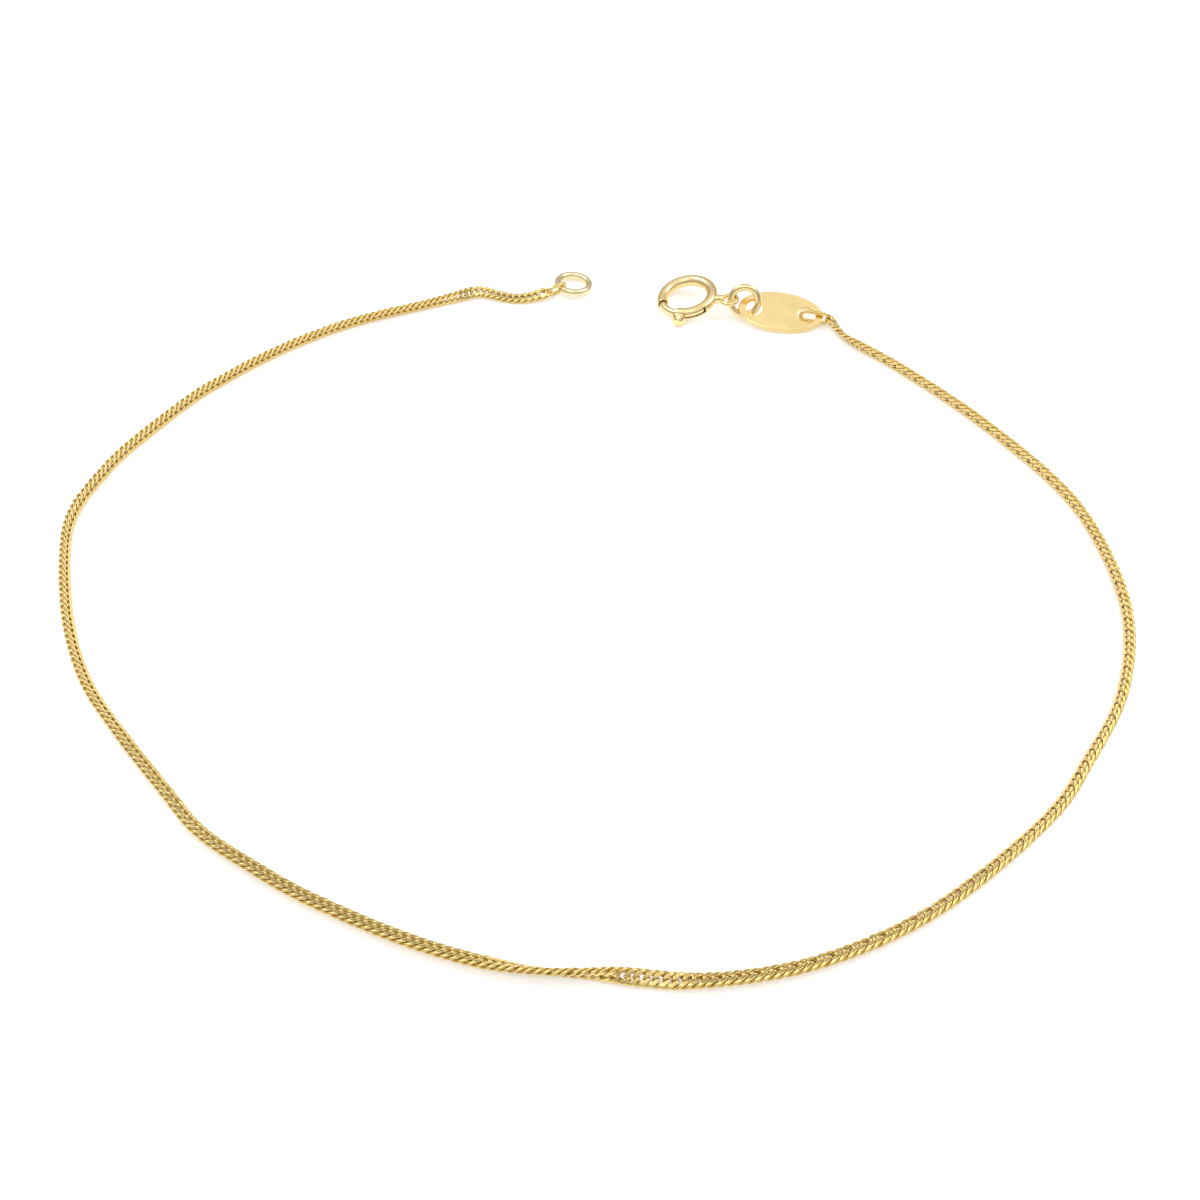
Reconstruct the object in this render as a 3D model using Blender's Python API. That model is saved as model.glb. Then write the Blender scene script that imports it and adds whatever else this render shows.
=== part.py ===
# Curb chain bracelet, lying open on a flat surface.
#
# A fine double curb chain runs from a plain ring, all the way round, to an oval end plate.
# A small ring joins the plate to a spring ring clasp, whose bolt slides round inside its tube.
# The surface is z = 0. X runs along the loop's wide side and Y from its front to its open back.

import bpy
import bmesh
from math import asin, ceil, cos, degrees, pi, radians, sin, sqrt
from mathutils import Matrix, Vector

mm = 0.001

# Chain: its route's chosen points, from the plain ring round the front to the plate.
chain_d = 0.80 * mm
chain_point_spacing = 2.3 * mm
chain_route = [
    (-6.4, 31.7), (-8.0, 32.0), (-9.7, 32.4), (-11.6, 31.6), (-14.3, 30.5), (-17.4, 29.3),
    (-20.3, 27.9), (-23.2, 26.0), (-26.0, 23.7), (-28.2, 21.5), (-30.2, 19.2), (-33.4, 14.2),
    (-34.7, 11.3), (-35.6, 8.1), (-35.4, 4.8), (-33.6, -1.3), (-31.2, -6.2), (-28.3, -9.9),
    (-24.5, -14.1), (-22.1, -16.6), (-18.9, -18.7), (-15.3, -20.7), (-9.6, -23.1), (-4.4, -24.5),
    (0.6, -24.9), (5.9, -25.1), (11.7, -24.0), (18.0, -21.1), (24.8, -15.9), (28.1, -12.0),
    (31.3, -7.3), (33.2, -1.6), (33.2, 4.4), (31.7, 10.1), (27.4, 17.1), (22.7, 22.8),
    (19.4, 26.1), (18.5, 27.7),
]
chain_link_wire_d = 0.24 * mm  # the wire of the fine links that each end link holds

# Plain ring that the clasp hooks into.
end_ring_outer_d = 3.15 * mm
end_ring_wire_d = 0.58 * mm
end_ring_place = (-2.15 * mm, 33.40 * mm)
end_ring_link_at = 214.0  # degrees round the ring, where the chain pulls on it

# End link between the chain and the plain ring.
ring_link_wire_d = 0.25 * mm
ring_link_lean = -22.0  # degrees from upright, top towards the front

# Oval end plate.
plate_length = 6.70 * mm
plate_width = 3.45 * mm
plate_thickness = 0.30 * mm
plate_hole_d = 1.34 * mm
plate_hole_from_tip = 1.28 * mm
plate_edge_round = 0.06 * mm
plate_place = (14.20 * mm, 29.15 * mm)
plate_heading = -8.0

# End link between the chain and the plate.
plate_link_wire_d = 0.28 * mm
plate_link_inner_width = 0.56 * mm

# Small ring between the plate and the clasp.
jump_ring_outer_d = 2.70 * mm
jump_ring_wire_d = 0.53 * mm
jump_ring_stand = 70.0  # degrees its plane rises from the surface, top towards the back
jump_ring_heading = -8.0
jump_ring_lift = 0.20 * mm  # the clasp's eye holds it this far off the surface
jump_ring_hole_at = -30.0  # degrees round the ring, where it passes the plate's hole
jump_ring_off_hole = 0.09 * mm  # from the hole's middle, towards the plate's

# Spring ring clasp.
clasp_tube_d = 0.90 * mm
clasp_tube_wall = 0.10 * mm
clasp_middle_d = 4.00 * mm
clasp_heading = -20.0
clasp_lean = 6.0  # degrees, back side up
clasp_mouth_from = 210.0  # degrees round the ring from its eye
clasp_mouth_to = 262.0
clasp_eye_hole_d = 0.80 * mm
clasp_eye_wire_d = 0.34 * mm
clasp_eye_neck_d = 0.70 * mm
clasp_eye_neck_length = 0.50 * mm
bolt_clearance = 0.05 * mm
bolt_in_far_mouth = 6.0  # degrees that the shut bolt's tip stands inside the far mouth
bolt_tail_past_knob = 56.0
bolt_travel = 46.0
knob_stem_d = 0.46 * mm
knob_reach = 0.64 * mm  # how far it stands out of the tube
knob_head_d = 1.16 * mm
knob_head_top_d = 0.70 * mm
knob_head_length = 0.54 * mm
knob_from_mouth = 10.0  # degrees from the mouth's edge to the knob's middle
slot_clearance = 0.07 * mm

# Clearances between linked pieces.
link_clearance = 0.06 * mm
chain_end_gap = 0.10 * mm
chain_turn_at_plate = -45.0  # degrees from the plate's heading to the chain's end

ring_segments = 36
ring_sides = 12
link_sides = 8
eye_segments = 24
eye_sides = 10
knob_sides = 16
slot_segments = 12
plate_segments = 56
hole_segments = 24
arc_segments_per_turn = 60
route_steps_between_points = 24
gold = (0.86, 0.63, 0.30)


def make_material(name, colour, roughness):
    material = bpy.data.materials.new(name)
    material.use_nodes = True
    shader = material.node_tree.nodes["Principled BSDF"]
    shader.inputs["Base Color"].default_value = (*colour, 1.0)
    shader.inputs["Roughness"].default_value = roughness
    shader.inputs["Metallic"].default_value = 1.0
    return material


def add_object(name, mesh, place=None, material=None):
    mesh.shade_smooth()
    mesh.set_sharp_from_angle(angle=radians(40))
    piece = bpy.data.objects.new(name, mesh)
    bpy.context.collection.objects.link(piece)
    if place is not None:
        piece.matrix_world = place
    if material is not None:
        mesh.materials.append(material)
    return piece


def make_guide(piece):
    """A piece that only cuts or joins another."""
    piece.hide_render = True
    piece.display_type = "WIRE"
    return piece


def place_of(origin, along, normal):
    """The frame with its X along one direction and its Z near a normal."""
    x = along.normalized()
    z = (normal - x * normal.dot(x)).normalized()
    y = z.cross(x)
    turn = Matrix((x, y, z)).transposed()
    return Matrix.Translation(origin) @ turn.to_4x4()


def heading(angle, rise=0.0):
    """The direction at an angle round Z from +X, rising by another angle."""
    level = cos(radians(rise))
    return Vector((cos(radians(angle)) * level, sin(radians(angle)) * level, sin(radians(rise))))


def section_at(centre, outward, radius, sides):
    """A round section's corners, in the plane of the outward direction and local Z."""
    up = Vector((0, 0, 1))
    turns = [2 * pi * (k + 0.5) / sides for k in range(sides)]
    return [centre + (outward * cos(turn) + up * sin(turn)) * radius for turn in turns]


def bridge(work, first, second):
    """Quads between two rings of vertices."""
    count = len(first)
    for k in range(count):
        work.faces.new((first[k], first[(k + 1) % count], second[(k + 1) % count], second[k]))


def mesh_from(work, name):
    bmesh.ops.recalc_face_normals(work, faces=work.faces)
    mesh = bpy.data.meshes.new(name)
    work.to_mesh(mesh)
    work.free()
    return mesh


def loop_mesh(name, stations, radius, sides):
    """A closed wire loop in local XY. Each station is a centre and its outward direction."""
    work = bmesh.new()
    rings = [[work.verts.new(p) for p in section_at(c, out, radius, sides)] for c, out in stations]
    for i, ring in enumerate(rings):
        bridge(work, ring, rings[(i + 1) % len(rings)])
    return mesh_from(work, name)


def circle_stations(middle_radius, start, end, count):
    """Centres and outward directions along an arc, in degrees."""
    angles = [radians(start + (end - start) * i / count) for i in range(count + 1)]
    return [(Vector((cos(a), sin(a), 0)) * middle_radius, Vector((cos(a), sin(a), 0))) for a in angles]


def ring_mesh(name, outer_d, wire_d, sides=ring_sides, segments=ring_segments):
    stations = circle_stations((outer_d - wire_d) / 2, 0, 360, segments)[:-1]
    return loop_mesh(name, stations, wire_d / 2, sides)


def long_link_mesh(name, inner_length, inner_width, wire_d, end_segments=8):
    """A straight-sided link with round ends, its length along local X."""
    end_radius = (inner_width + wire_d) / 2
    half_straight = (inner_length - inner_width) / 2
    stations = []
    for side, start in ((1, -90), (-1, 90)):
        for centre, out in circle_stations(end_radius, start, start + 180, end_segments):
            stations.append((centre + Vector((side * half_straight, 0, 0)), out))
    return loop_mesh(name, stations, wire_d / 2, link_sides)


def arc_rod_mesh(name, middle_radius, radius, start, end, sides):
    """A bent rod with flat ends."""
    work = bmesh.new()
    stations = circle_stations(middle_radius, start, end, ceil((end - start) / 360 * arc_segments_per_turn))
    rings = [[work.verts.new(p) for p in section_at(c, out, radius, sides)] for c, out in stations]
    for first, second in zip(rings, rings[1:]):
        bridge(work, first, second)
    work.faces.new(rings[0])
    work.faces.new(rings[-1])
    return mesh_from(work, name)


def arc_tube_mesh(name, middle_radius, outer_radius, bore_radius, start, end, sides):
    """A bent tube, open at both ends."""
    work = bmesh.new()
    stations = circle_stations(middle_radius, start, end, ceil((end - start) / 360 * arc_segments_per_turn))
    skins = []
    for radius in (outer_radius, bore_radius):
        rings = [[work.verts.new(p) for p in section_at(c, out, radius, sides)] for c, out in stations]
        for first, second in zip(rings, rings[1:]):
            bridge(work, first, second)
        skins.append(rings)
    outer, bore = skins
    bridge(work, outer[0], bore[0])
    bridge(work, outer[-1], bore[-1])
    return mesh_from(work, name)


def arc_slot_mesh(name, inner_radius, outer_radius, half_width, start, end):
    """A curved block that cuts a slot round a ring's outer side."""
    work = bmesh.new()
    rings = []
    for centre, out in circle_stations(1.0, start, end, slot_segments):
        corners = ((inner_radius, -1), (outer_radius, -1), (outer_radius, 1), (inner_radius, 1))
        rings.append([work.verts.new(out * r + Vector((0, 0, side * half_width))) for r, side in corners])
    for first, second in zip(rings, rings[1:]):
        bridge(work, first, second)
    work.faces.new(rings[0])
    work.faces.new(rings[-1])
    return mesh_from(work, name)


def cylinder_mesh(name, diameter, depth, sides, centre=(0, 0, 0), along=(0, 0, 1), top_diameter=None):
    """A cylinder, or a cone frustum where its top has its own diameter."""
    work = bmesh.new()
    top = diameter if top_diameter is None else top_diameter
    turn = Vector((0, 0, 1)).rotation_difference(Vector(along)).to_matrix().to_4x4()
    bmesh.ops.create_cone(
        work, cap_ends=True, segments=sides, radius1=diameter / 2, radius2=top / 2,
        depth=depth, matrix=Matrix.Translation(centre) @ turn,
    )
    return mesh_from(work, name)


def add_boolean(piece, name, operation, other):
    modifier = piece.modifiers.new(name, "BOOLEAN")
    modifier.operation = operation
    modifier.solver = "EXACT"
    modifier.object = other


def build_plate(place, material):
    """The oval plate, its two holes and its softened edges."""
    work = bmesh.new()
    turns = [2 * pi * k / plate_segments for k in range(plate_segments)]
    outline = [(plate_length / 2 * cos(turn), plate_width / 2 * sin(turn)) for turn in turns]
    low = [work.verts.new((x, y, -plate_thickness / 2)) for x, y in outline]
    high = [work.verts.new((x, y, plate_thickness / 2)) for x, y in outline]
    bridge(work, low, high)
    work.faces.new(low)
    work.faces.new(high)
    plate = add_object("tag_plate", mesh_from(work, "tag_plate"), place, material)
    for side in (-1, 1):
        name = "plate_hole_left" if side < 0 else "plate_hole_right"
        at = (side * (plate_length / 2 - plate_hole_from_tip), 0, 0)
        cutter = add_object(name, cylinder_mesh(name, plate_hole_d, plate_thickness * 3, hole_segments, at), place)
        add_boolean(plate, name, "DIFFERENCE", make_guide(cutter))
    bevel = plate.modifiers.new("edge_round", "BEVEL")
    bevel.width = plate_edge_round
    bevel.segments = 2
    bevel.limit_method = "ANGLE"
    bevel.angle_limit = radians(50)
    return plate


def build_clasp(place, material):
    """The hollow ring with its slot and eye, and the bolt that slides round inside it."""
    middle = clasp_middle_d / 2
    outer = clasp_tube_d / 2
    bore = outer - clasp_tube_wall
    knob_at = clasp_mouth_to + knob_from_mouth
    ring = add_object(
        "clasp_ring",
        arc_tube_mesh("clasp_ring", middle, outer, bore, clasp_mouth_to, clasp_mouth_from + 360, ring_sides),
        place, material,
    )
    neck_start = middle + bore + clasp_tube_wall / 2
    neck_end = middle + outer + clasp_eye_neck_length + clasp_eye_wire_d / 2
    neck = cylinder_mesh(
        "eye_neck", clasp_eye_neck_d, neck_end - neck_start, ring_sides,
        ((neck_start + neck_end) / 2, 0, 0), (1, 0, 0),
    )
    add_boolean(ring, "eye_neck", "UNION", make_guide(add_object("eye_neck", neck, place)))
    eye = ring_mesh("eye", clasp_eye_hole_d + 2 * clasp_eye_wire_d, clasp_eye_wire_d, eye_sides, eye_segments)
    eye.transform(Matrix.Translation((eye_reach(), 0, 0)))
    add_boolean(ring, "eye", "UNION", make_guide(add_object("eye", eye, place)))
    slot_half_width = knob_stem_d / 2 + slot_clearance
    slot_margin = degrees(slot_half_width / (middle + outer))
    slot = arc_slot_mesh(
        "knob_slot", middle + bore / 4, middle + outer * 1.2, slot_half_width,
        knob_at - slot_margin, knob_at + bolt_travel + slot_margin,
    )
    add_boolean(ring, "knob_slot", "DIFFERENCE", make_guide(add_object("knob_slot", slot, place)))

    rod_radius = bore - bolt_clearance
    bolt = add_object(
        "clasp_bolt",
        arc_rod_mesh(
            "clasp_bolt", middle, rod_radius, clasp_mouth_from - bolt_in_far_mouth,
            knob_at + bolt_tail_past_knob, ring_sides,
        ),
        place, material,
    )
    # The knob's stem passes the slot, and its wider head stands clear of the tube.
    knob_top = middle + outer + knob_reach
    stem_length = knob_top - knob_head_length / 2 - middle
    direction = heading(knob_at)
    stem = cylinder_mesh(
        "knob_stem", knob_stem_d, stem_length, knob_sides, direction * (middle + stem_length / 2), direction,
    )
    add_boolean(bolt, "knob_stem", "UNION", make_guide(add_object("knob_stem", stem, place)))
    head = cylinder_mesh(
        "knob_head", knob_head_d, knob_head_length, knob_sides,
        direction * (knob_top - knob_head_length / 2), direction, knob_head_top_d,
    )
    add_boolean(bolt, "knob_head", "UNION", make_guide(add_object("knob_head", head, place)))
    return ring, bolt


def eye_reach():
    """From the clasp ring's centre to its eye's centre."""
    eye_middle_radius = (clasp_eye_hole_d + clasp_eye_wire_d) / 2
    return (clasp_middle_d + clasp_tube_d) / 2 + clasp_eye_neck_length + eye_middle_radius


def rise_at_rest(eye_z, reach):
    """How many degrees the leaning clasp rises towards its eye, with its lowest side on the surface."""
    low, high = 0.0, 45.0
    for _ in range(40):
        rise = (low + high) / 2
        across = cos(radians(rise)) * sin(radians(clasp_lean))
        slope = sqrt(sin(radians(rise)) ** 2 + across ** 2)
        lowest = eye_z - reach * sin(radians(rise)) - clasp_middle_d / 2 * slope - clasp_tube_d / 2
        low, high = (rise, high) if lowest > 0 else (low, rise)
    return low


def smooth_route(points, spacing):
    """Points at an even spacing along a smooth curve through the given ones."""
    fine = []
    padded = [points[0] * 2 - points[1]] + points + [points[-1] * 2 - points[-2]]
    for a, b, c, d in zip(padded, padded[1:], padded[2:], padded[3:]):
        for i in range(route_steps_between_points):
            t = i / route_steps_between_points
            curve = (c - a) * t + (a * 2 - b * 5 + c * 4 - d) * t * t + (b * 3 - a - c * 3 + d) * t ** 3
            fine.append(b + curve / 2)
    fine.append(points[-1])
    lengths = [0.0]
    for p, q in zip(fine, fine[1:]):
        lengths.append(lengths[-1] + (q - p).length)
    count = ceil(lengths[-1] / spacing)
    route = []
    i = 0
    for k in range(count + 1):
        at = lengths[-1] * k / count
        while i < len(fine) - 2 and lengths[i + 1] < at:
            i += 1
        share = (at - lengths[i]) / (lengths[i + 1] - lengths[i])
        route.append(fine[i].lerp(fine[i + 1], share))
    return route


def build_chain(start, end, material):
    """The chain's tube, from one end link to the other."""
    chosen = [Vector((x * mm, y * mm, chain_d / 2)) for x, y in chain_route]
    route = smooth_route([start] + chosen + [end], chain_point_spacing)
    curve = bpy.data.curves.new("chain", "CURVE")
    curve.dimensions = "3D"
    curve.bevel_depth = chain_d / 2
    curve.bevel_resolution = 2
    curve.use_fill_caps = True
    spline = curve.splines.new("POLY")
    spline.points.add(len(route) - 1)
    for point, place in zip(spline.points, route):
        point.co = (*place, 1)
    curve.materials.append(material)
    chain = bpy.data.objects.new("chain", curve)
    bpy.context.collection.objects.link(chain)
    return chain


def build_bracelet():
    chain_gold = make_material("chain_gold", gold, 0.22)
    ring_gold = make_material("ring_gold", gold, 0.16)
    plate_gold = make_material("plate_gold", gold, 0.12)
    clasp_gold = make_material("clasp_gold", gold, 0.18)
    up = Vector((0, 0, 1))
    pieces = []

    # The small ring stands on its wire, so its height sets the plate's at the hole it passes.
    jump_radius = (jump_ring_outer_d - jump_ring_wire_d) / 2
    jump_along = heading(jump_ring_heading)
    jump_across = up.cross(jump_along)
    jump_rise = jump_across * cos(radians(jump_ring_stand)) + up * sin(radians(jump_ring_stand))
    jump_height = jump_ring_wire_d / 2 + jump_radius * jump_rise.z + jump_ring_lift
    turn = radians(jump_ring_hole_at)
    jump_to_hole = (jump_along * cos(turn) + jump_rise * sin(turn)) * jump_radius

    # The plate slopes down in line with its end link, whose far end lies on the surface.
    hole_reach = plate_length / 2 - plate_hole_from_tip
    plate_link_inner_length = (
        plate_hole_from_tip + plate_hole_d / 4 + chain_link_wire_d + 2 * link_clearance
    )
    plate_link_end_reach = plate_link_inner_length - plate_hole_d / 4 + plate_link_wire_d
    left_hole_z = jump_height + jump_to_hole.z
    link_end_z = plate_link_wire_d + plate_link_inner_width / 2
    plate_drop = degrees(asin((left_hole_z - link_end_z) / (2 * hole_reach + plate_link_end_reach)))
    plate_along = heading(plate_heading, -plate_drop)
    plate_z = left_hole_z + plate_along.z * hole_reach
    plate_centre = Vector((*plate_place, plate_z))
    # It leans until its front edge meets the surface.
    room_below = plate_z - plate_thickness / 2
    tip_drop = plate_along.z * plate_length / 2
    plate_lean = asin(sqrt(room_below ** 2 - tip_drop ** 2) / (plate_width / 2))
    plate_front = -(up.cross(plate_along)).normalized()
    plate_normal = up * cos(plate_lean) + plate_front * sin(plate_lean)
    plate_at = place_of(plate_centre, plate_along, plate_normal)
    pieces.append(build_plate(plate_at, plate_gold))

    left_hole = plate_centre - plate_along * hole_reach
    jump_centre = left_hole + plate_along * jump_ring_off_hole - jump_to_hole
    jump_at = place_of(jump_centre, jump_along, jump_along.cross(jump_rise))
    mesh = ring_mesh("jump_ring", jump_ring_outer_d, jump_ring_wire_d)
    pieces.append(add_object("jump_ring", mesh, jump_at, ring_gold))

    # The clasp rests on its far side, and its eye rides on the small ring's near wire.
    slack = (clasp_eye_hole_d - jump_ring_wire_d) / 2 - link_clearance
    eye_at = jump_centre - jump_along * jump_radius
    reach = eye_reach() + slack
    clasp_rise = rise_at_rest(eye_at.z, reach)
    clasp_along = heading(clasp_heading, clasp_rise)
    clasp_front = -(up.cross(clasp_along)).normalized()
    clasp_normal = up * cos(radians(clasp_lean)) + clasp_front * sin(radians(clasp_lean))
    clasp_centre = eye_at - clasp_along * reach
    pieces.extend(build_clasp(place_of(clasp_centre, clasp_along, clasp_normal), clasp_gold))

    # The plate's end link stands on edge, one side above the plate's rim and one below it.
    right_hole = plate_centre + plate_along * hole_reach
    plate_link_centre = right_hole + plate_along * (plate_link_inner_length / 2 - plate_hole_d / 4)
    link_at = place_of(plate_link_centre, plate_along, plate_front)
    mesh = long_link_mesh("plate_end_link", plate_link_inner_length, plate_link_inner_width, plate_link_wire_d)
    pieces.append(add_object("plate_end_link", mesh, link_at, chain_gold))
    plate_link_end = right_hole + plate_along * plate_link_end_reach

    # The plain ring lies on the surface and on its end link's lower side.
    ring_radius = (end_ring_outer_d - end_ring_wire_d) / 2
    ring_lift = ring_link_wire_d + link_clearance
    ring_rise = degrees(asin(ring_lift / (2 * ring_radius)))
    ring_along = heading(end_ring_link_at, ring_rise)
    ring_centre = Vector((*end_ring_place, end_ring_wire_d / 2 + ring_lift / 2))
    ring_at = place_of(ring_centre, ring_along, up)
    mesh = ring_mesh("end_ring", end_ring_outer_d, end_ring_wire_d)
    pieces.append(add_object("end_ring", mesh, ring_at, ring_gold))

    lean = radians(ring_link_lean)
    ring_link_inner_width = end_ring_wire_d / cos(lean) + 2 * link_clearance
    ring_link_inner_length = end_ring_wire_d + chain_link_wire_d + 4 * link_clearance + ring_link_wire_d
    link_along = heading(end_ring_link_at)
    side = up.cross(link_along)
    link_rise = up * cos(lean) + side * -sin(lean)
    link_middle = ring_link_wire_d / 2 + (ring_link_inner_width + ring_link_wire_d) / 2 * cos(lean)
    wire_at = ring_centre + ring_along * ring_radius
    reach = ring_link_inner_length / 2 - end_ring_wire_d / 2 - link_clearance
    ring_link_centre = Vector((wire_at.x, wire_at.y, link_middle)) + link_along * reach
    link_at = place_of(ring_link_centre, link_along, link_along.cross(link_rise))
    mesh = long_link_mesh("ring_end_link", ring_link_inner_length, ring_link_inner_width, ring_link_wire_d)
    pieces.append(add_object("ring_end_link", mesh, link_at, chain_gold))
    ring_link_end = ring_link_centre + link_along * (ring_link_inner_length / 2 + ring_link_wire_d)

    start = ring_link_end + link_along * chain_end_gap
    end = plate_link_end + heading(plate_heading + chain_turn_at_plate) * (chain_end_gap + chain_d / 4)
    start.z = end.z = chain_d / 2
    pieces.append(build_chain(start, end, chain_gold))
    return pieces


def stand_on_origin(pieces):
    """Moves everything so that the origin is the middle of the footprint, on the surface."""
    bpy.context.view_layer.update()
    graph = bpy.context.evaluated_depsgraph_get()
    corners = []
    for piece in pieces:
        evaluated = piece.evaluated_get(graph)
        mesh = evaluated.to_mesh()
        corners.extend(evaluated.matrix_world @ vertex.co for vertex in mesh.vertices)
        evaluated.to_mesh_clear()
    lows = [min(corner[i] for corner in corners) for i in range(3)]
    highs = [max(corner[i] for corner in corners) for i in range(3)]
    bracelet = bpy.data.objects.new("bracelet", None)
    bpy.context.collection.objects.link(bracelet)
    bracelet.location = (-(lows[0] + highs[0]) / 2, -(lows[1] + highs[1]) / 2, -lows[2])
    for piece in list(bpy.context.collection.objects):
        if piece is not bracelet:
            piece.parent = bracelet


for old in list(bpy.data.objects):
    bpy.data.objects.remove(old, do_unlink=True)
stand_on_origin(build_bracelet())
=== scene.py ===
from math import cos, degrees, pi, radians, sin

import bmesh
import bpy
import numpy as np
from mathutils import Matrix, Vector


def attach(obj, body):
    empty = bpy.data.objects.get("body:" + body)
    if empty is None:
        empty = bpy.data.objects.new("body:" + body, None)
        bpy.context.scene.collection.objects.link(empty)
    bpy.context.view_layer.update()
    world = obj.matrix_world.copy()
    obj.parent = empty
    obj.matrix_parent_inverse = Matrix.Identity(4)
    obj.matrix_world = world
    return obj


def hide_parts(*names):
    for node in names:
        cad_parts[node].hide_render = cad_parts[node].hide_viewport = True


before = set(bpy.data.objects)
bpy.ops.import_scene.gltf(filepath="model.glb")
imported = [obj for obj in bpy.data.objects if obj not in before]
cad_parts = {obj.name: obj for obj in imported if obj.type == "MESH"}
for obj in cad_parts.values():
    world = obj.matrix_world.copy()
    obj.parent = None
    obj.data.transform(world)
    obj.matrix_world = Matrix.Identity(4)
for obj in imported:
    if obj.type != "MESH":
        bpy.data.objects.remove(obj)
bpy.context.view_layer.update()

# Gold double curb chain bracelet, lying open on a white table.
# The surface is z = 0, and every size below is in millimetres unless a note says otherwise.
mm = 0.001


def heading(angle, rise=0.0):
    level = cos(radians(rise))
    return Vector((cos(radians(angle)) * level, sin(radians(angle)) * level, sin(radians(rise))))


def placeOf(centre, along, normal):
    x = Vector(along).normalized()
    normal = Vector(normal)
    z = (normal - x * normal.dot(x)).normalized()
    turn = Matrix((x, z.cross(x), z)).transposed()
    return Matrix.Translation(Vector(centre) * mm) @ turn.to_4x4()


def meshFromArrays(name, points, quads):
    mesh = bpy.data.meshes.new(name)
    mesh.vertices.add(len(points))
    mesh.vertices.foreach_set("co", np.asarray(points, np.float32).ravel())
    quads = np.asarray(quads, np.int32)
    mesh.loops.add(quads.size)
    mesh.loops.foreach_set("vertex_index", quads.ravel())
    mesh.polygons.add(len(quads))
    mesh.polygons.foreach_set("loop_start", np.arange(0, quads.size, 4, dtype=np.int32))
    mesh.update(calc_edges=True)
    mesh.validate()
    mesh.shade_smooth()
    return mesh


def gridQuads(rows, columns, closeRows=True, first=0):
    # Quads of a grid whose columns always close on themselves.
    r = np.arange(rows if closeRows else rows - 1)[:, None]
    c = np.arange(columns)[None, :]
    nextRow = (r + 1) % rows
    nextColumn = (c + 1) % columns
    here, there = r * columns, nextRow * columns
    corners = (here + c, there + c, there + nextColumn, here + nextColumn)
    return np.stack([np.broadcast_to(k, (len(r), columns)).ravel() for k in corners], 1) + first


def arcSkin(middle, radius, angles, turns):
    # A bent tube's skin: one row of points at each angle round the middle circle.
    angles, turns = np.radians(angles), np.radians(turns)
    radius = np.broadcast_to(np.asarray(radius, float), (len(angles),))
    outward = np.stack([np.cos(angles), np.sin(angles), np.zeros(len(angles))], 1)
    ring = outward[:, None, :] * np.cos(turns)[None, :, None]
    ring = ring + np.array([0.0, 0.0, 1.0]) * np.sin(turns)[None, :, None]
    return (outward[:, None, :] * middle + ring * radius[:, None, None]).reshape(-1, 3)


def turnedForm(profile, angle=0.0, sides=28):
    # A lathe form round a line that leaves the middle at an angle, from (distance, radius) pairs.
    profile = np.asarray(profile, float)
    turns = 2 * pi * np.arange(sides) / sides
    x = np.repeat(profile[:, 0], sides)
    y = (profile[:, 1:] * np.sin(turns)).ravel()
    z = (profile[:, 1:] * np.cos(turns)).ravel()
    a = radians(angle)
    points = np.stack([x * cos(a) - y * sin(a), x * sin(a) + y * cos(a), z], 1)
    return points, gridQuads(len(profile), sides, closeRows=False)


def joinForms(name, forms):
    points, quads, start = [], [], 0
    for formPoints, formQuads in forms:
        points.append(formPoints * mm)
        quads.append(formQuads + start)
        start += len(formPoints)
    return meshFromArrays(name, np.vstack(points), np.vstack(quads))


def putOn(piece, body, node):
    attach(piece, body)
    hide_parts(node)


def addPiece(name, mesh, material, place=None):
    if place is not None:
        mesh.transform(place)
    piece = bpy.data.objects.new(name, mesh)
    bpy.context.scene.collection.objects.link(piece)
    mesh.materials.append(material)
    return piece


def applyModifiers(piece):
    bpy.context.view_layer.update()
    graph = bpy.context.evaluated_depsgraph_get()
    mesh = bpy.data.meshes.new_from_object(piece.evaluated_get(graph))
    piece.modifiers.clear()
    piece.data = mesh
    mesh.name = piece.name
    return piece


# Pale yellow gold, as the photo shows. The findings are paler than the chain.
goldColours = {
    "chain": (0.86, 0.650, 0.248),
    "clasp": (0.95, 0.750, 0.390),
    "plate": (0.96, 0.745, 0.350),
    "endRing": (0.94, 0.795, 0.500),
    "worn": (0.94, 0.92, 0.86),      # times the piece's own colour, where handling has warmed it
    "shadeAndGrime": (0.62, 0.445, 0.130),  # painted shade between the links, olive brown, with some grime
}


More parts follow.
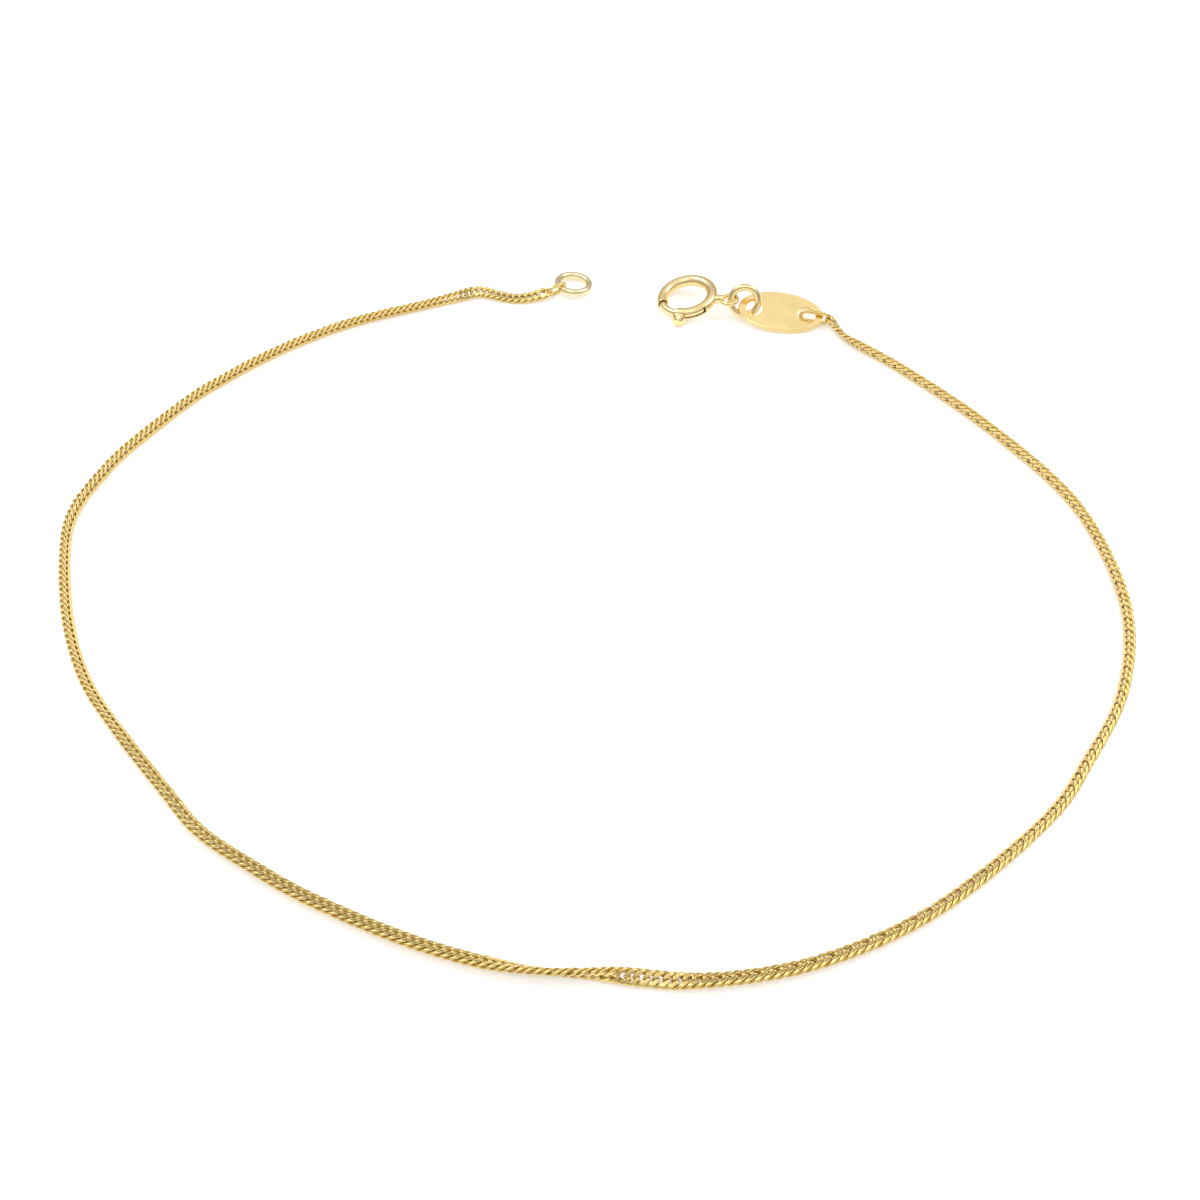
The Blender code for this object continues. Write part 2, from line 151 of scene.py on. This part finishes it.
def makeGold(name, colour, roughness, scratchScale, scratchDepth, waves=0.0, shadeAndGrime=False):
    material = bpy.data.materials.new(name)
    material.use_nodes = True
    nodes, links = material.node_tree.nodes, material.node_tree.links
    shader = nodes["Principled BSDF"]
    shader.inputs["Metallic"].default_value = 1.0
    shader.inputs["Specular IOR Level"].default_value = 0.5
    where = nodes.new("ShaderNodeTexCoord")

    clouds = nodes.new("ShaderNodeTexNoise")          # slow drift in colour and polish
    clouds.inputs["Scale"].default_value = 900.0
    clouds.inputs["Detail"].default_value = 3.0
    links.new(where.outputs["Object"], clouds.inputs["Vector"])
    tone = nodes.new("ShaderNodeMix")
    tone.data_type = "RGBA"
    polished = goldColours[colour]
    worn = [own * wear for own, wear in zip(polished, goldColours["worn"])]
    tone.inputs["A"].default_value = (*polished, 1)
    tone.inputs["B"].default_value = (*worn, 1)
    share = nodes.new("ShaderNodeMapRange")
    share.inputs["From Min"].default_value = 0.42
    share.inputs["From Max"].default_value = 0.72
    share.inputs["To Max"].default_value = 0.8
    links.new(clouds.outputs["Fac"], share.inputs["Value"])
    links.new(share.outputs["Result"], tone.inputs["Factor"])
    surface = tone.outputs["Result"]

    stretched = nodes.new("ShaderNodeMapping")        # fine polishing lines
    stretched.inputs["Scale"].default_value = (1.0, 9.0, 2.0)
    stretched.inputs["Rotation"].default_value = (0.3, 0.2, 0.6)
    links.new(where.outputs["Object"], stretched.inputs["Vector"])
    scratches = nodes.new("ShaderNodeTexNoise")
    scratches.inputs["Scale"].default_value = scratchScale
    scratches.inputs["Detail"].default_value = 5.0
    scratches.inputs["Roughness"].default_value = 0.65
    links.new(stretched.outputs["Vector"], scratches.inputs["Vector"])

    gloss = nodes.new("ShaderNodeMapRange")
    gloss.inputs["From Min"].default_value = 0.35
    gloss.inputs["From Max"].default_value = 0.75
    gloss.inputs["To Min"].default_value = roughness
    gloss.inputs["To Max"].default_value = roughness + 0.10
    links.new(scratches.outputs["Fac"], gloss.inputs["Value"])
    rough = gloss.outputs["Result"]

    if shadeAndGrime:                                        # painted shade between the links, with skin oil and dust there too
        # Painted shade: the chain's colour mixes toward olive brown where the link hides the wire, with
        # some grime.
        depth = nodes.new("ShaderNodeAttribute")
        depth.attribute_name = "shadeAndGrime"
        shadeAndGrimeMix = nodes.new("ShaderNodeMix")
        shadeAndGrimeMix.data_type = "RGBA"
        shadeAndGrimeMix.inputs["B"].default_value = (*goldColours["shadeAndGrime"], 1)
        links.new(depth.outputs["Fac"], shadeAndGrimeMix.inputs["Factor"])
        links.new(surface, shadeAndGrimeMix.inputs["A"])
        surface = shadeAndGrimeMix.outputs["Result"]
        dull = nodes.new("ShaderNodeMath")
        dull.operation = "MULTIPLY_ADD"
        dull.inputs[1].default_value = 0.22
        links.new(depth.outputs["Fac"], dull.inputs[0])
        links.new(rough, dull.inputs[2])
        rough = dull.outputs["Value"]

    bump = nodes.new("ShaderNodeBump")
    bump.inputs["Strength"].default_value = 0.35
    bump.inputs["Distance"].default_value = scratchDepth
    links.new(scratches.outputs["Fac"], bump.inputs["Height"])
    if waves:                                         # a flat face that isn't quite flat
        swell = nodes.new("ShaderNodeTexNoise")
        swell.inputs["Scale"].default_value = 330.0
        swell.inputs["Detail"].default_value = 1.0
        links.new(where.outputs["Object"], swell.inputs["Vector"])
        wavy = nodes.new("ShaderNodeBump")
        wavy.inputs["Strength"].default_value = 1.0
        wavy.inputs["Distance"].default_value = waves
        links.new(swell.outputs["Fac"], wavy.inputs["Height"])
        links.new(wavy.outputs["Normal"], bump.inputs["Normal"])
    links.new(bump.outputs["Normal"], shader.inputs["Normal"])
    links.new(surface, shader.inputs["Base Color"])
    links.new(rough, shader.inputs["Roughness"])
    return material


chainGold = makeGold(
    "chainGold", "chain", roughness=0.20, scratchScale=5200.0, scratchDepth=0.000004, shadeAndGrime=True)
linkGold = makeGold("linkGold", "chain", roughness=0.18, scratchScale=4200.0, scratchDepth=0.000004)
ringGold = makeGold("ringGold", "endRing", roughness=0.22, scratchScale=3200.0, scratchDepth=0.000004)
plateGold = makeGold(
    "plateGold", "plate", roughness=0.10, scratchScale=2600.0, scratchDepth=0.000003, waves=0.00020)
claspGold = makeGold("claspGold", "clasp", roughness=0.20, scratchScale=3000.0, scratchDepth=0.000004)
print("gold made")


chain = {
    "pitch": 0.50,
    "linkHalfLength": 0.606,     # the wire's centre line, from the link's middle
    "linkWidth": 0.95,           # outside
    "wire": 0.18,
    "twistHeight": 0.21,         # how far the wire rises above and below the middle
    "twistSkew": 0.045,
    "endPoint": 1.094,           # above 1, the link's ends are more pointed
    "sidePoint": 1.216,
    "broadSides": 0.531,         # how much broader than the wire the links' sides are
    "filedTo": 0.185,            # half the thickness left after filing both faces
    "segments": 36,
    "sides": 12,
    "firstLink": 0.14,           # from the route's start
    "startHeight": 0.56,         # where the larger links hold its ends
    "endHeight": 0.615,
    "rise": 1.6,                 # how far from each end it starts to rise to them
    "looseness": 0.006,
    # How far the links bunch in pairs, and how far they lie slack, by the distance along the chain.
    "bunching": [(0, 0.0), (88, 0.0), (95, 0.024), (180, 0.024)],
    "slack": [(0, 0.0), (60, 0.0), (94, -0.10), (140, 0.0), (180, 0.0)],
}
# The route's chosen points as in the part's source, with its two ends.
chainRoute = [
    (-4.294, 32.049),
    (-6.4, 31.7), (-8.0, 32.0), (-9.7, 32.4), (-11.6, 31.6), (-14.3, 30.5), (-17.4, 29.3),
    (-20.3, 27.9), (-23.2, 26.0), (-26.0, 23.7), (-28.2, 21.5), (-30.2, 19.2), (-33.4, 14.2),
    (-34.7, 11.3), (-35.6, 8.1), (-35.4, 4.8), (-33.6, -1.3), (-31.2, -6.2), (-28.3, -9.9),
    (-24.5, -14.1), (-22.1, -16.6), (-18.9, -18.7), (-15.3, -20.7), (-9.6, -23.1), (-4.4, -24.5),
    (0.6, -24.9), (5.9, -25.1), (11.7, -24.0), (18.0, -21.1), (24.8, -15.9), (28.1, -12.0),
    (31.3, -7.3), (33.2, -1.6), (33.2, 4.4), (31.7, 10.1), (27.4, 17.1), (22.7, 22.8),
    (19.4, 26.1), (18.5, 27.7),
    (18.10, 28.434),
]
routeShift = (1.1299, -4.7163)
# How far the chain has turned over, in degrees, by the distance along it.
chainTwist = [
    (0, -36), (2, -8), (3.5, -4), (5, -22), (6.5, -55), (8, -88), (10, -108), (16, -105), (25, -99),
    (34, -94), (40, -89), (46, -76), (52, -67), (58, -56), (64, -45), (70, -41), (76, -33), (82, -29),
    (88, -30), (90, -34), (91, -45), (92, -59), (93, -68), (94, -75), (95, -88), (96, -110), (97, -138),
    (98, -155), (99, -167), (100, -184), (101, -202), (102, -208), (104, -210), (110, -214), (118, -220),
    (124, -228), (130, -239), (136, -249), (142, -263), (150, -271), (160, -278), (167, -282),
    (171, -284), (175, -339),
]
pathStep = 0.05
turnSoftness = 0.6
pathBeyond = 2.0                 # the path runs on straight past both ends


def smoothCurve(points, stepsBetween=40):
    points = np.asarray(points, float)
    padded = np.vstack([2 * points[0] - points[1], points, 2 * points[-1] - points[-2]])
    t = (np.arange(stepsBetween) / stepsBetween)[:, None]
    pieces = []
    for a, b, c, d in zip(padded, padded[1:], padded[2:], padded[3:]):
        curve = (c - a) * t + (2 * a - 5 * b + 4 * c - d) * t ** 2 + (3 * b - a - 3 * c + d) * t ** 3
        pieces.append(b + curve / 2)
    return np.vstack(pieces + [points[-1:]])


def softSteps(at, keys, soften):
    # Straight steps between the keys, rounded over a distance.
    xs, ys = np.array(keys, float).T
    offsets = np.linspace(-1, 1, 9) * soften
    weights = 1 - np.abs(np.linspace(-1, 1, 9)) * 0.8
    values = sum(w * np.interp(at + o, xs, ys) for o, w in zip(offsets, weights))
    return values / weights.sum()


def chainPath():
    line = smoothCurve(chainRoute) + np.array(routeShift)
    lengths = np.concatenate([[0], np.cumsum(np.linalg.norm(np.diff(line, axis=0), axis=1))])
    length = lengths[-1]
    at = np.arange(-pathBeyond, length + pathBeyond, pathStep)
    inside = np.clip(at, 0, length)
    startWay = (line[4] - line[0]) / np.linalg.norm(line[4] - line[0])
    endWay = (line[-1] - line[-5]) / np.linalg.norm(line[-1] - line[-5])
    before = np.minimum(at, 0)
    after = np.maximum(at - length, 0)
    x = np.interp(inside, lengths, line[:, 0]) + (before * startWay[0] + after * endWay[0])
    y = np.interp(inside, lengths, line[:, 1]) + (before * startWay[1] + after * endWay[1])
    twist = np.radians(softSteps(at, chainTwist, turnSoftness))
    # The links rest on the table by their lowest points, whichever way they are turned.
    shape = linkShape()
    heights = np.outer(np.sin(twist), shape[:, 1]) + np.outer(np.cos(twist), shape[:, 2])
    rest = -heights.min(axis=1)
    reach = round(chain["pitch"] / pathStep)
    z = np.max([np.roll(rest, shift) for shift in range(-reach, reach + 1)], axis=0)
    # Its two ends rise to the larger links that hold them.
    for held, distance in ((chain["startHeight"], at), (chain["endHeight"], length - at)):
        share = np.clip(1 - distance / chain["rise"], 0, 1) ** 2
        z = np.maximum(z, z + (held - z) * share)
    return {"length": length, "at": at, "places": (x, y, z), "twist": twist}


def placeOnPath(path, s):
    return np.stack([np.interp(s, path["at"], values) for values in path["places"]], 1)


def bendAlong(path, points):
    # Takes points along a straight chain to their places along the route.
    s = points[:, 0]
    along = placeOnPath(path, s + pathStep) - placeOnPath(path, s - pathStep)
    along /= np.linalg.norm(along, axis=1)[:, None]
    level = np.cross(np.array([0.0, 0.0, 1.0]), along)
    level /= np.linalg.norm(level, axis=1)[:, None]
    upright = np.cross(along, level)
    twist = np.interp(s, path["at"], path["twist"])[:, None]
    across = level * np.cos(twist) + upright * np.sin(twist)
    up = upright * np.cos(twist) - level * np.sin(twist)
    return placeOnPath(path, s) + across * points[:, 1:2] + up * points[:, 2:3]


def linkShape():
    # One link, its middle at the origin, before it is bent to the route.
    halfWidth = (chain["linkWidth"] - chain["wire"] * (1 + chain["broadSides"])) / 2

    def centreLine(t):
        c, s = np.cos(t), np.sin(t)
        x = chain["linkHalfLength"] * np.sign(c) * np.abs(c) ** chain["endPoint"]
        y = halfWidth * np.sign(s) * np.abs(s) ** chain["sidePoint"]
        z = -chain["twistHeight"] * np.sin(2 * t) - chain["twistSkew"] * np.sin(4 * t)
        return np.stack([x, y, z], 1)

    # Points at an even spacing round the centre line.
    fine = centreLine(np.linspace(0, 2 * pi, 721))
    run = np.concatenate([[0], np.cumsum(np.linalg.norm(np.diff(fine, axis=0), axis=1))])
    even = run[-1] * np.arange(chain["segments"]) / chain["segments"]
    centres = np.stack([np.interp(even, run, fine[:, k]) for k in range(3)], 1)
    along = np.roll(centres, -1, 0) - np.roll(centres, 1, 0)
    along /= np.linalg.norm(along, axis=1)[:, None]
    # Outward as on an oval, which turns evenly round the ends too.
    oval = np.array([1 / chain["linkHalfLength"] ** 2, 1 / halfWidth ** 2, 0.0])
    outward = centres * oval
    outward -= along * np.sum(outward * along, axis=1)[:, None]
    outward /= np.linalg.norm(outward, axis=1)[:, None]
    over = np.cross(outward, along)
    turns = 2 * pi * (np.arange(chain["sides"]) + 0.5) / chain["sides"]
    # Filing leaves the wire's faces broad along the link's sides.
    broad = (1 + chain["broadSides"] * (centres[:, 1] / centres[:, 1].max()) ** 2)[:, None, None]
    flat = outward[:, None, :] * np.cos(turns)[None, :, None] * broad
    ring = flat + over[:, None, :] * np.sin(turns)[None, :, None]
    points = (centres[:, None, :] + ring * chain["wire"] / 2).reshape(-1, 3)
    points[:, 2] = np.clip(points[:, 2], -chain["filedTo"], chain["filedTo"])
    return points


def pairShift(at, i):
    # The links bunch in pairs round the front and the right side.
    bunched = np.interp(at, *zip(*chain["bunching"]))
    slack = np.interp(at, *zip(*chain["slack"]))
    return slack + (bunched if i % 2 else -bunched)


def buildChain():
    path = chainPath()
    linked = path["length"] - 2 * chain["firstLink"]
    count = round(linked / chain["pitch"]) + 1
    pitch = linked / (count - 1)
    shape = linkShape()
    quad = gridQuads(chain["segments"], chain["sides"])
    chance = np.random.default_rng(7)
    # Two halves, so that neither mesh grows too large.
    for name, links in (("chainLinksA", range(count // 2)), ("chainLinksB", range(count // 2, count))):
        points, shadeAndGrime = [], []
        for i in links:
            link = shape.copy()
            loose = chance.normal(0, chain["looseness"], 3)
            tilt = loose[1] * 4.0
            y, z = link[:, 1].copy(), link[:, 2].copy()
            link[:, 1] = y * cos(tilt) - z * sin(tilt)
            link[:, 2] = y * sin(tilt) + z * cos(tilt)
            # Painted shade with some grime: olive brown where the wire lies inside the link, away from its
            # edges and filed faces.
            exposed = np.maximum(np.abs(y) / (chain["linkWidth"] / 2), np.abs(z) / chain["filedTo"])
            shadeAndGrime.append(np.clip((0.80 - exposed) / 0.55, 0, 1))
            at = chain["firstLink"] + i * pitch
            link[:, 0] += at + pairShift(at, i) + loose[0] * 0.5
            points.append(bendAlong(path, link) * mm)
        quads = np.vstack([quad + i * len(shape) for i in range(len(links))])
        mesh = meshFromArrays(name, np.vstack(points), quads)
        depth = mesh.attributes.new("shadeAndGrime", "FLOAT", "POINT")
        depth.data.foreach_set("value", np.concatenate(shadeAndGrime).astype(np.float32))
        putOn(addPiece(name, mesh, chainGold), "bracelet", "chain")
        print(name, len(links), "links,", len(mesh.polygons) * 2, "triangles")
    print("chain: length", round(path["length"], 2), "mm, pitch", round(pitch, 4), "mm")


buildChain()


wireRings = {
    "endRing": {
        "node": "end_ring", "outer": 3.15, "wire": 0.58, "centre": (-1.020, 28.684, 0.446),
        "along": heading(214.0, 6.93), "normal": (0, 0, 1), "gold": ringGold, "slot": "ring_gold",
    },
    "jumpRing": {
        "node": "jump_ring", "outer": 2.70, "wire": 0.53, "centre": (12.469, 25.023, 1.479),
        "along": heading(-8.0), "normal": (-0.1308, -0.9305, 0.342), "gold": claspGold, "slot": "ring_gold",
    },
}
solder = {"at": 109, "spread": 6, "fuller": 0.012, "polishedTo": 0.99}  # in degrees, and shares of the wire
endLinks = {
    "ringEndLink": {
        "node": "ring_end_link", "innerLength": 1.31, "innerWidth": 0.745, "wire": 0.25,
        "centre": (-2.330, 27.800, 0.587), "along": (-0.829038, -0.559193, 0.0),
        "normal": (-0.518475, 0.76867, 0.374607),
    },
    "plateEndLink": {
        "node": "plate_end_link", "innerLength": 1.975, "innerWidth": 0.56, "wire": 0.28,
        "centre": (18.020, 24.056, 0.648), "along": (0.987946, -0.138847, -0.068446),
        "normal": (-0.139173, -0.990268, 0.0),
    },
}


def buildRing(name, size):
    segments, sides = 120, 28
    angles = 360 * np.arange(segments) / segments
    # The soldered joint leaves the wire a little fuller for a short way.
    fromJoint = np.abs((angles - solder["at"] + 180) % 360 - 180)
    fuller = solder["fuller"] * np.exp(-(fromJoint / solder["spread"]) ** 2)
    radius = size["wire"] / 2 * (solder["polishedTo"] + fuller)
    middle = (size["outer"] - size["wire"]) / 2
    points = arcSkin(middle, radius, angles, 360 * (np.arange(sides) + 0.5) / sides)
    mesh = joinForms(name, [(points, gridQuads(segments, sides))])
    piece = addPiece(name, mesh, size["gold"], placeOf(size["centre"], size["along"], size["normal"]))
    putOn(piece, "bracelet", size["node"])


def buildEndLink(name, size):
    segments, sides = 48, 16
    angles = 360 * (np.arange(segments) + 0.5) / segments
    turns = 360 * np.arange(sides) / sides
    points = arcSkin((size["innerWidth"] + size["wire"]) / 2, size["wire"] / 2, angles, turns)
    # Its straight sides lie between two half rings.
    half = (size["innerLength"] - size["innerWidth"]) / 2
    points[:, 0] += np.repeat(np.sign(np.cos(np.radians(angles))), sides) * half
    mesh = joinForms(name, [(points, gridQuads(segments, sides))])
    piece = addPiece(name, mesh, linkGold, placeOf(size["centre"], size["along"], size["normal"]))
    putOn(piece, "bracelet", size["node"])


for ringName, ringSize in wireRings.items():
    buildRing(ringName, ringSize)
for linkName, linkSize in endLinks.items():
    buildEndLink(linkName, linkSize)
print("rings and end links made")


plate = {
    "centre": (15.330, 24.434, 0.834),
    "along": (0.987946, -0.138847, -0.068446),
    "normal": (0.010847, -0.378976, 0.925343),
    "length": 6.70,
    "width": 3.45,
    "thickness": 0.30,
    "hole": 1.34,
    "holeFromTip": 1.28,
    "edgeRound": 0.07,
}


def buildPlate():
    curve = bpy.data.curves.new("tagPlate", "CURVE")
    curve.dimensions = "2D"
    curve.fill_mode = "BOTH"
    curve.extrude = (plate["thickness"] / 2 - plate["edgeRound"]) * mm
    curve.bevel_depth = plate["edgeRound"] * mm
    curve.bevel_resolution = 3
    curve.offset = -plate["edgeRound"] * mm
    holeAt = plate["length"] / 2 - plate["holeFromTip"]
    ovals = (
        (0.0, plate["length"] / 2, plate["width"] / 2, 144),
        (-holeAt, plate["hole"] / 2, plate["hole"] / 2, 64),
        (holeAt, plate["hole"] / 2, plate["hole"] / 2, 64),
    )
    for x, halfLength, halfWidth, steps in ovals:
        spline = curve.splines.new("POLY")
        spline.points.add(steps - 1)
        for k, point in enumerate(spline.points):
            turn = 2 * pi * k / steps
            point.co = ((x + halfLength * cos(turn)) * mm, halfWidth * sin(turn) * mm, 0, 1)
        spline.use_cyclic_u = True
    shape = bpy.data.objects.new("plateShape", curve)
    mesh = bpy.data.meshes.new_from_object(shape)
    mesh.name = "tagPlate"
    mesh.materials.clear()
    # Its two flat faces stay flat beside their rounded edges.
    for face in mesh.polygons:
        face.use_smooth = abs(face.normal.z) < 0.999
    bpy.data.objects.remove(shape)
    piece = addPiece("tagPlate", mesh, plateGold, placeOf(plate["centre"], plate["along"], plate["normal"]))
    putOn(piece, "bracelet", "tag_plate")


buildPlate()

clasp = {
    "centre": (8.068, 26.385, 0.8547),
    "along": heading(-20.0, 10.0),
    "normal": (-0.198623, -0.040642, 0.979233),
    "middle": 2.00,              # radius of the tube's own middle
    "tube": 0.45,
    "wall": 0.10,
    "mouth": (210.0, 262.0),     # open between these, in degrees from the eye
    "slot": (264.98, 325.02),
    "slotHalfWidth": 0.30,
    "eyeAt": 3.52,
    "eyeMiddle": 0.57,
    "eyeWire": 0.17,
}
bolt = {
    "rod": 0.30,
    "ends": (204.0, 328.0),
    "knobAt": 272.0,
    "stem": 0.23,
    "knobTop": 3.09,
    "knobLength": 0.54,
    "knobBase": 0.58,
    "knobTip": 0.35,
}


def buildClaspRing(place):
    edge = np.degrees(np.arcsin(clasp["slotHalfWidth"] / clasp["tube"]))
    turns = np.concatenate([np.linspace(-edge, edge, 8), np.linspace(edge, 360 - edge, 24)[1:-1]])
    mouthFrom, mouthTo = clasp["mouth"]
    slotFrom, slotTo = clasp["slot"]
    angles = np.concatenate([
        [mouthTo], np.linspace(slotFrom, slotTo, 22), np.linspace(slotTo, mouthFrom + 360, 84)[1:],
    ])
    quads = gridQuads(len(angles), len(turns), closeRows=False)
    row, column = quads[:, 0] // len(turns), quads[:, 0] % len(turns)
    inSlot = (row >= 1) & (row < 22) & (column < 7)
    skin = arcSkin(clasp["middle"], clasp["tube"], angles, turns)
    ring = addPiece("claspRing", joinForms("claspRing", [(skin, quads[~inSlot])]), claspGold, place)
    wall = ring.modifiers.new("wall", "SOLIDIFY")
    wall.thickness = clasp["wall"] * mm
    lip = ring.modifiers.new("lip", "BEVEL")
    lip.width = 0.028 * mm
    lip.segments = 2
    lip.limit_method = "ANGLE"
    lip.angle_limit = radians(45)
    applyModifiers(ring)
    putOn(ring, "bracelet", "clasp_ring")

    neck = turnedForm([
        (2.36, 0.001), (2.36, 0.36), (2.44, 0.385), (2.50, 0.365), (2.58, 0.345), (2.70, 0.335),
        (2.82, 0.335), (2.94, 0.330), (3.02, 0.300), (3.08, 0.240), (3.11, 0.150), (3.12, 0.001),
    ])
    angles = 360 * np.arange(72) / 72
    loop = arcSkin(clasp["eyeMiddle"], clasp["eyeWire"], angles, 360 * np.arange(20) / 20)
    loop[:, 0] += clasp["eyeAt"]
    eye = addPiece("claspEye", joinForms("claspEye", [neck, (loop, gridQuads(72, 20))]), claspGold, place)
    putOn(eye, "bracelet", "clasp_ring")


def buildBolt(place):
    first, last = bolt["ends"]
    steps = np.radians(np.array([4, 20, 36, 52, 70]))
    nose = degrees(bolt["rod"] / clasp["middle"])
    into, size = nose * (1 - np.cos(steps)), bolt["rod"] * np.sin(steps)
    straight = np.linspace(first + nose, last - nose, 50)
    angles = np.concatenate([first + into, straight, (last - into)[::-1]])
    radius = np.concatenate([size, np.full(len(straight), bolt["rod"]), size[::-1]])
    rod = arcSkin(clasp["middle"], radius, angles, 360 * np.arange(28) / 28)
    top = bolt["knobTop"]
    low = top - bolt["knobLength"]
    base, tip = bolt["knobBase"], bolt["knobTip"]
    stem = turnedForm([(clasp["middle"], bolt["stem"]), (low + 0.1, bolt["stem"])], bolt["knobAt"])
    head = turnedForm([
        (low, 0.001), (low, base - 0.08), (low + 0.010, base - 0.03), (low + 0.04, base),
        (low + 0.08, base - 0.010), (low + 0.20, base - 0.06), (low + 0.34, tip + 0.08),
        (top - 0.09, tip + 0.02), (top - 0.035, tip - 0.02), (top - 0.010, tip - 0.07),
        (top, tip - 0.14), (top + 0.004, 0.001),
    ], bolt["knobAt"])
    mesh = joinForms("claspBolt", [(rod, gridQuads(len(angles), 28, closeRows=False)), stem, head])
    putOn(addPiece("claspBolt", mesh, claspGold, place), "bolt", "clasp_bolt")


claspPlace = placeOf(clasp["centre"], clasp["along"], clasp["normal"])
buildClaspRing(claspPlace)
buildBolt(claspPlace)
print("plate and clasp made")

table = {"size": 3000.0, "colour": (0.93, 0.93, 0.93), "glow": 0.30}  # lit a little from below
studio = {
    "sky": 1.0,
    "lamps": [  # where from, where to, width, height, strength in watts
        ("lampLeft", (-120.0, 100.0, 170.0), (0, 0, 0), 90.0, 90.0, 0.096),
        ("lampRight", (140.0, 60.0, 170.0), (0, 0, 0), 90.0, 90.0, 0.096),
        ("lampFront", (-30.0, -60.0, 220.0), (0, 0, 0), 60.0, 60.0, 0.035),
    ],
}
view = {"elevation": 50.0, "distance": 78.9, "target": (1.1299, -4.7163, 0.4), "lens": 37.14}


def buildTable():
    half = table["size"] / 2 * mm
    work = bmesh.new()
    bmesh.ops.create_grid(work, x_segments=8, y_segments=8, size=half)
    mesh = bpy.data.meshes.new("table")
    work.to_mesh(mesh)
    work.free()
    material = bpy.data.materials.new("tableWhite")
    material.use_nodes = True
    nodes, links = material.node_tree.nodes, material.node_tree.links
    shader = nodes["Principled BSDF"]
    shader.inputs["Roughness"].default_value = 0.6
    shader.inputs["Specular IOR Level"].default_value = 0.2
    shader.inputs["Emission Color"].default_value = (1, 1, 1, 1)
    shader.inputs["Emission Strength"].default_value = table["glow"]
    where = nodes.new("ShaderNodeTexCoord")
    paper = nodes.new("ShaderNodeTexNoise")
    paper.inputs["Scale"].default_value = 300.0
    links.new(where.outputs["Object"], paper.inputs["Vector"])
    tone = nodes.new("ShaderNodeMix")
    tone.data_type = "RGBA"
    tone.inputs["A"].default_value = (*table["colour"], 1)
    tone.inputs["B"].default_value = (0.95, 0.95, 0.95, 1)
    links.new(paper.outputs["Fac"], tone.inputs["Factor"])
    links.new(tone.outputs["Result"], shader.inputs["Base Color"])
    piece = addPiece("table", mesh, material)


def buildSky():
    world = bpy.data.worlds.new("studio")
    bpy.context.scene.world = world
    world.use_nodes = True
    nodes, links = world.node_tree.nodes, world.node_tree.links
    back = nodes["Background"]
    where = nodes.new("ShaderNodeTexCoord")
    split = nodes.new("ShaderNodeSeparateXYZ")
    links.new(where.outputs["Generated"], split.inputs["Vector"])
    ramp = nodes.new("ShaderNodeValToRGB")            # by height above the table
    ramp.color_ramp.interpolation = "EASE"
    stops = ramp.color_ramp.elements
    stops[0].position, stops[0].color = 0.0, (0.28, 0.28, 0.28, 1)
    stops[1].position, stops[1].color = 1.0, (1.05, 1.05, 1.05, 1)
    for position, grey in ((0.30, 0.42), (0.50, 0.62), (0.80, 0.84), (0.95, 0.94)):
        stop = stops.new(position)
        stop.color = (grey, grey, grey, 1)
    links.new(split.outputs["Z"], ramp.inputs["Fac"])
    links.new(ramp.outputs["Color"], back.inputs["Color"])
    back.inputs["Strength"].default_value = studio["sky"]


def buildLamps():
    for name, place, target, width, height, power in studio["lamps"]:
        data = bpy.data.lights.new(name, "AREA")
        data.shape = "RECTANGLE"
        data.size, data.size_y = width * mm, height * mm
        data.energy = power
        lamp = bpy.data.objects.new(name, data)
        bpy.context.scene.collection.objects.link(lamp)
        place, target = Vector(place) * mm, Vector(target) * mm
        lamp.location = place
        lamp.rotation_euler = (target - place).to_track_quat("-Z", "Y").to_euler()


def buildCamera():
    data = bpy.data.cameras.new("camera")
    data.lens = view["lens"]
    data.sensor_width = 36.0
    data.clip_start = 0.004
    data.clip_end = 20.0
    camera = bpy.data.objects.new("camera", data)
    bpy.context.scene.collection.objects.link(camera)
    target = Vector(view["target"]) * mm
    down = heading(90.0, -view["elevation"])
    camera.location = target - down * view["distance"] * mm
    camera.rotation_euler = down.to_track_quat("-Z", "Y").to_euler()
    bpy.context.scene.camera = camera


buildTable()
buildSky()
buildLamps()
buildCamera()
bpy.context.scene.view_settings.view_transform = "Standard"
print("table, light and camera made")
